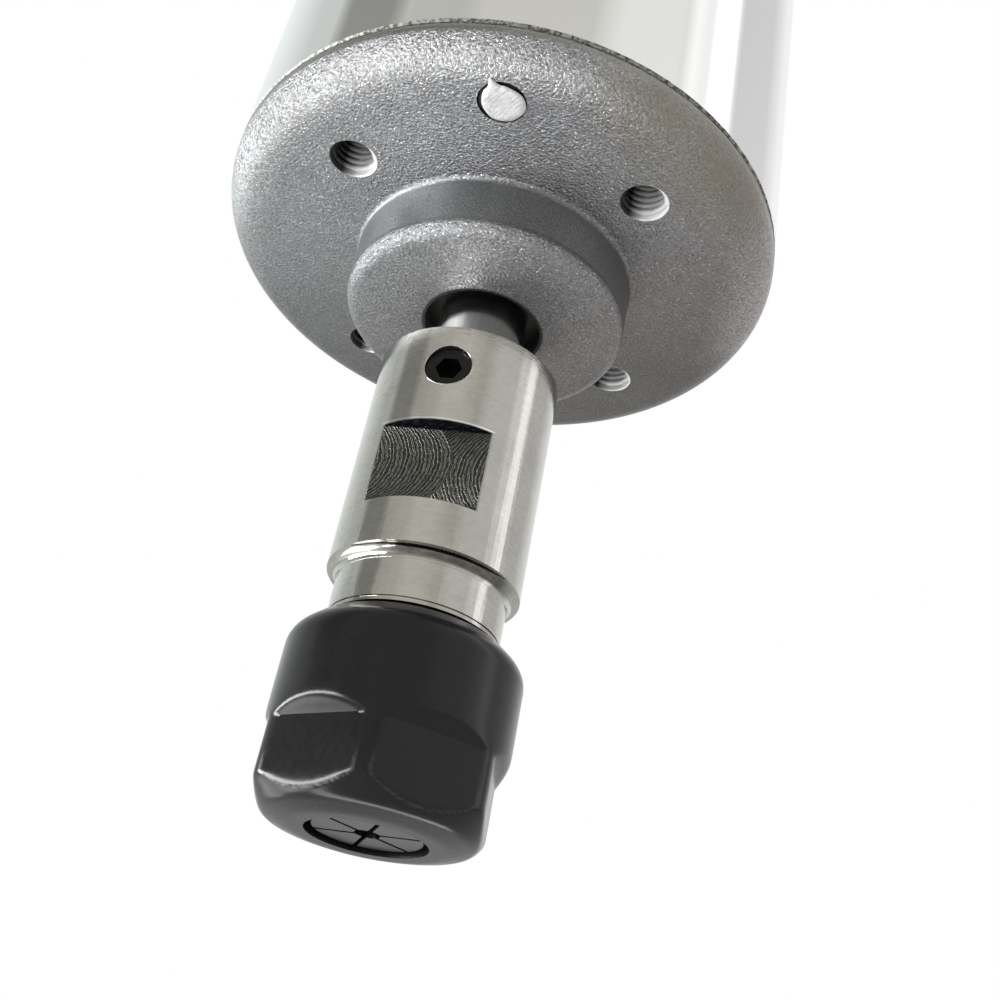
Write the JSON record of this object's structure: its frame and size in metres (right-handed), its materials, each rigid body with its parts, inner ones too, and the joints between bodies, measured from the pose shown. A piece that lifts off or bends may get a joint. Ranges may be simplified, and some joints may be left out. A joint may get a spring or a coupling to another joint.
{
  "type": "motor spindle",
  "caption": "Air-cooled brushed motor spindle: chromed tube housing, cast front cap with a tapped mounting face, and a shaft chuck with spring collet and nut.",
  "frame": {"origin": "centre of the cast front cap's flat mounting face, on the spindle axis", "axes": "+Z along the spindle axis from the collet nut towards the fan cover; -Y is the side of one tie bolt; +X and -X carry the brushes"},
  "size_m": [0.052, 0.052, 0.2077],
  "materials": {
    "tube_chrome": "polished chrome-plated steel tube",
    "cast_aluminium": "bead-blasted die casting",
    "bright_steel": "zinc-plated steel, ground end",
    "ferrite": "sintered ferrite, matte",
    "spring_steel": "blued spring steel",
    "bearing_steel": "ground bearing steel",
    "cage_steel": "pressed steel",
    "shaft_steel": "ground steel, oiled",
    "lamination_steel": "stacked laminations",
    "fibre": "insulating fibre",
    "copper": "enamelled copper wire",
    "phenolic": "moulded phenolic",
    "black_plastic": "moulded nylon, fine grain",
    "brass": "pressed brass",
    "carbon": "graphite",
    "chuck_steel": "satin turned steel",
    "black_oxide": "black oxide",
    "collet_steel": "hardened spring steel, polished"
  },
  "bodies": {
    "housing": {"housing_tube": "tube_chrome", "front_end_cap": "cast_aluminium", "rear_end_cap": "cast_aluminium", "tie_bolts": "bright_steel", "tie_bolt_washers": "bright_steel", "field_magnet_left": "ferrite", "field_magnet_right": "ferrite", "magnet_clips": "spring_steel", "front_bearing_outer_ring": "bearing_steel", "front_bearing_shields": "cage_steel", "rear_bearing_outer_ring": "bearing_steel", "rear_bearing_shields": "cage_steel", "preload_washer": "spring_steel", "brush_plate": "phenolic", "brush_plate_screws": "bright_steel", "brush_box_left": "brass", "brush_box_right": "brass", "brush_spring_left": "spring_steel", "brush_spring_right": "spring_steel", "terminal_studs": "brass", "terminal_links": "copper", "terminal_plate_nuts": "bright_steel", "terminal_bushes": "fibre", "terminal_washers": "bright_steel", "terminal_nuts": "bright_steel", "fan_cover": "black_plastic", "fan_cover_screws": "bright_steel"},
    "rotor": {"motor_shaft": "shaft_steel", "front_bearing_inner_ring": "bearing_steel", "rear_bearing_inner_ring": "bearing_steel", "armature_core": "lamination_steel", "armature_end_plates": "fibre", "armature_windings": "copper", "commutator_bars": "copper", "commutator_hub": "phenolic", "cooling_fan": "black_plastic", "fan_clip": "spring_steel", "chuck_body": "chuck_steel", "chuck_set_screws": "black_oxide"},
    "front_ball_set": {"front_bearing_balls": "bearing_steel", "front_bearing_cage": "cage_steel"},
    "rear_ball_set": {"rear_bearing_balls": "bearing_steel", "rear_bearing_cage": "cage_steel"},
    "collet": {"spring_collet": "collet_steel"},
    "nut": {"collet_nut": "black_oxide"},
    "brush_carbon_left": {"brush_left": "carbon"},
    "brush_carbon_right": {"brush_right": "carbon"}
  },
  "joints": [
    {"name": "spindle_spin", "type": "hinge", "parent": "housing", "child": "rotor", "pos_m": [0, 0, 0], "axis": [0, 0, 1], "continuous": true},
    {"name": "front_balls_spin", "type": "hinge", "parent": "housing", "child": "front_ball_set", "pos_m": [0, 0, 0], "axis": [0, 0, 1], "continuous": true},
    {"name": "rear_balls_spin", "type": "hinge", "parent": "housing", "child": "rear_ball_set", "pos_m": [0, 0, 0], "axis": [0, 0, 1], "continuous": true},
    {"name": "collet_slide", "type": "slide", "parent": "rotor", "child": "collet", "axis": [0, 0, -1], "range_m": [0, 0.0105]},
    {"name": "nut_turn", "type": "hinge", "parent": "collet", "child": "nut", "pos_m": [0, 0, 0], "axis": [0, 0, -1], "range_deg": [0, 5041]},
    {"name": "brush_left_slide", "type": "slide", "parent": "housing", "child": "brush_carbon_left", "axis": [-1, 0, 0], "range_m": [0, 0.0024], "stiffness_N_per_m": 200, "springref_m": -0.015, "deforming": ["brush_spring_left"]},
    {"name": "brush_right_slide", "type": "slide", "parent": "housing", "child": "brush_carbon_right", "axis": [1, 0, 0], "range_m": [0, 0.0024], "stiffness_N_per_m": 200, "springref_m": -0.015, "deforming": ["brush_spring_right"]}
  ],
  "couplings": [
    {"joint": "front_balls_spin", "follows": "spindle_spin", "ratio": 0.3677},
    {"joint": "rear_balls_spin", "follows": "spindle_spin", "ratio": 0.3677},
    {"joint": "nut_turn", "follows": "collet_slide", "rad_per_m": 8377.6}
  ]
}
